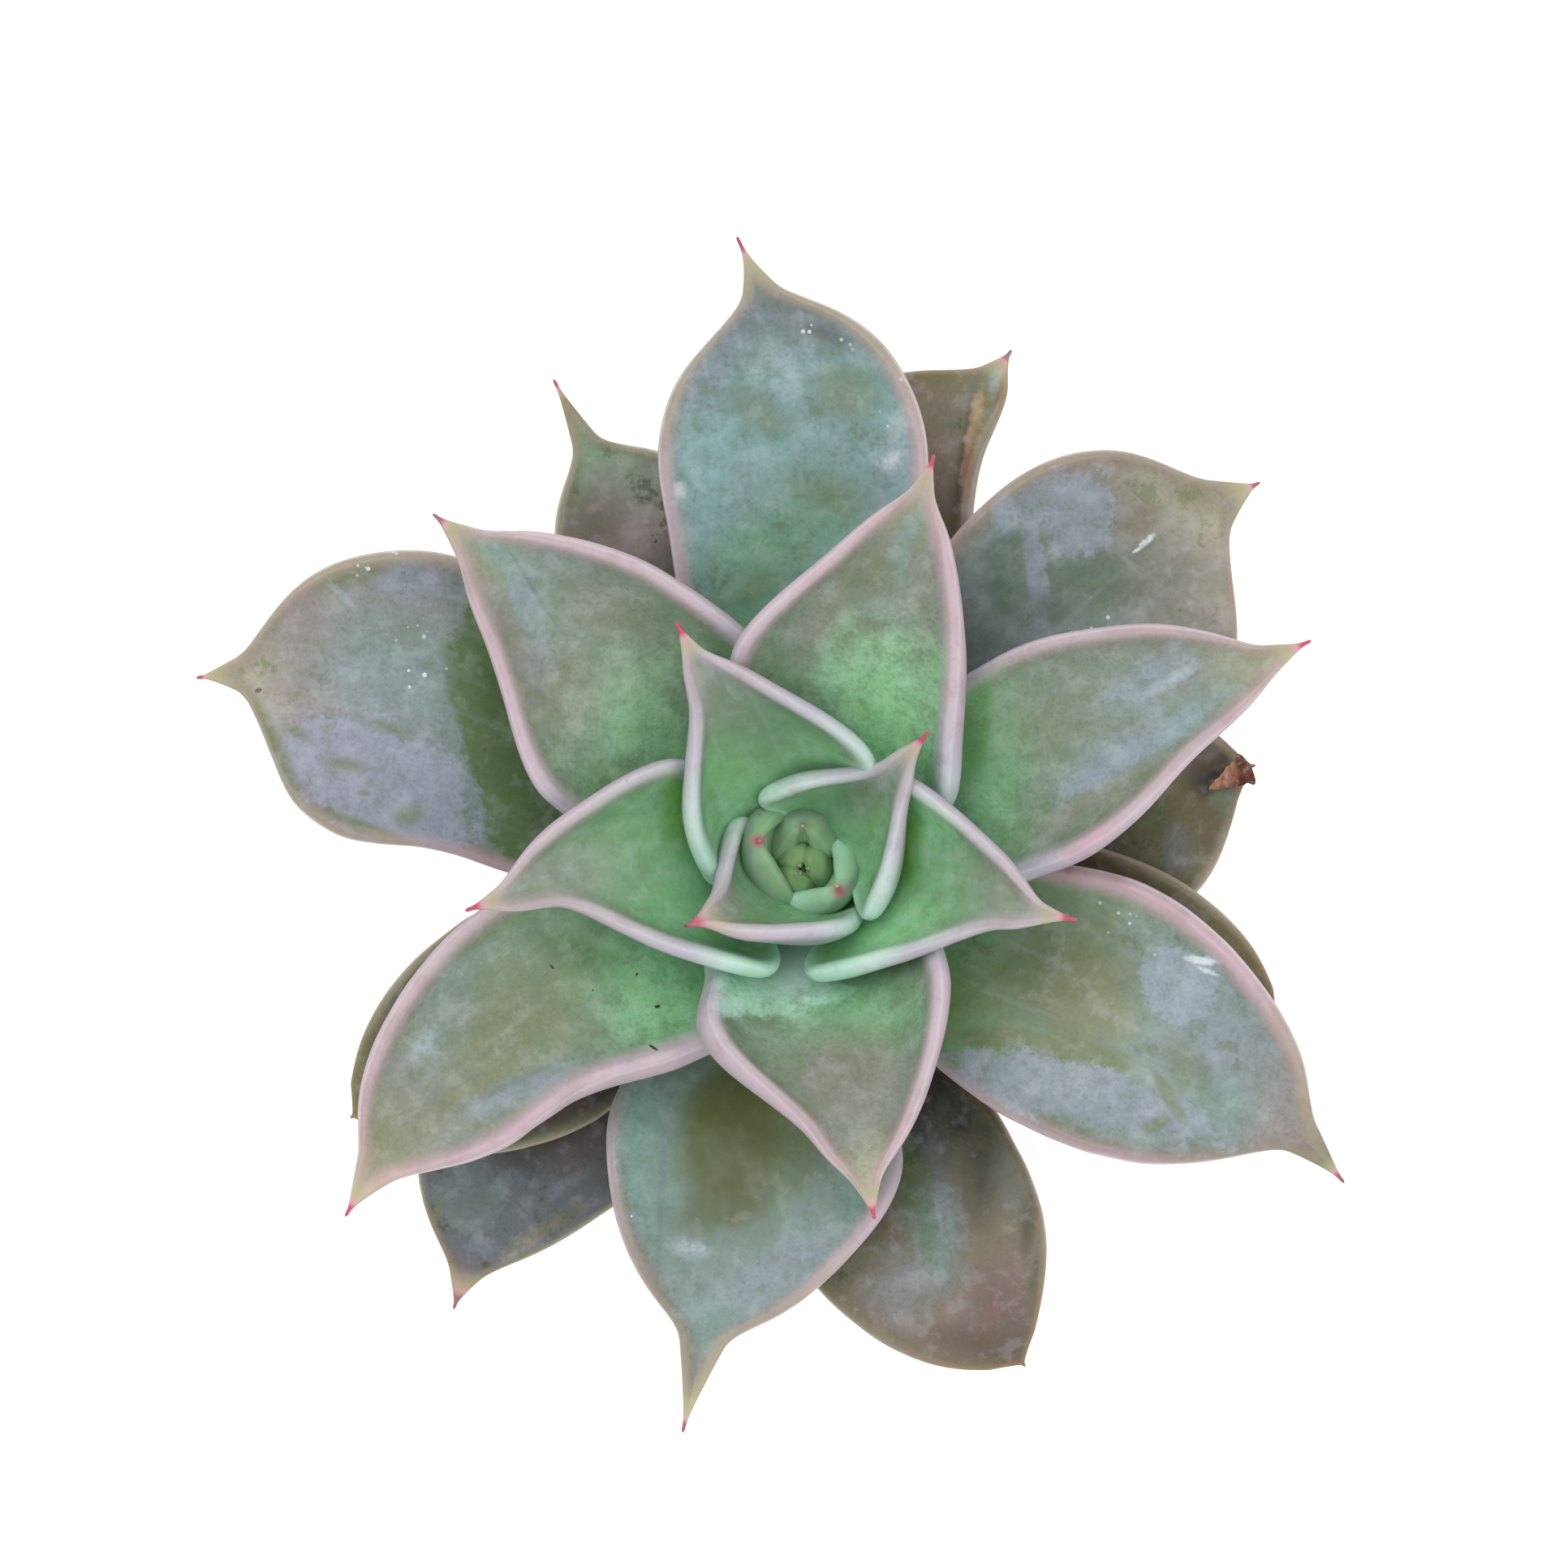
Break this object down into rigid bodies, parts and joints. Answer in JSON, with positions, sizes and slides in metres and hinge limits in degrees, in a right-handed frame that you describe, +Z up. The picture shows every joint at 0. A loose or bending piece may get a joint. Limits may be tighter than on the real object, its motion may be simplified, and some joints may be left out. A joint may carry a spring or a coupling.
{
  "type": "potted echeveria",
  "caption": "Open rosette of fleshy, pointed, boat-shaped leaves with thick rosy margins, on a short stem in a plain flared clay pot filled with soil.",
  "frame": {"origin": "middle of the pot's flat underside, on the surface that it stands on", "axes": "+Z up along the pot's axis; +X to the right and +Y to the top of the picture, which looks straight down"},
  "size_m": [0.1467, 0.1534, 0.1273],
  "materials": {
    "clay": "unglazed terracotta, matt",
    "soil": "crumbly potting soil",
    "stem": "corky succulent stem",
    "young_leaf": "fresh green flesh with mint and pink margins, waxy",
    "grown_leaf": "grey green flesh with a bluish bloom and pink margins, waxy",
    "old_leaf": "dull olive and plum flesh with tan margins"
  },
  "bodies": {
    "root": {"pot": "clay", "soil": "soil", "stem": "stem", "heart_bud": "young_leaf", "leaf_01": "young_leaf", "leaf_02": "young_leaf", "leaf_03": "young_leaf", "leaf_04": "young_leaf", "leaf_05": "young_leaf", "leaf_06": "young_leaf", "leaf_07": "young_leaf", "leaf_08": "young_leaf", "leaf_09": "grown_leaf", "leaf_10": "grown_leaf", "leaf_11": "grown_leaf", "leaf_12": "grown_leaf", "leaf_13": "grown_leaf", "leaf_14": "grown_leaf", "leaf_15": "grown_leaf", "leaf_16": "grown_leaf", "leaf_17": "grown_leaf", "leaf_18": "grown_leaf", "leaf_19": "old_leaf", "leaf_20": "old_leaf", "leaf_21": "old_leaf", "leaf_22": "old_leaf", "leaf_23": "old_leaf", "leaf_24": "old_leaf", "leaf_25": "old_leaf", "leaf_26": "old_leaf"}
  },
  "joints": []
}
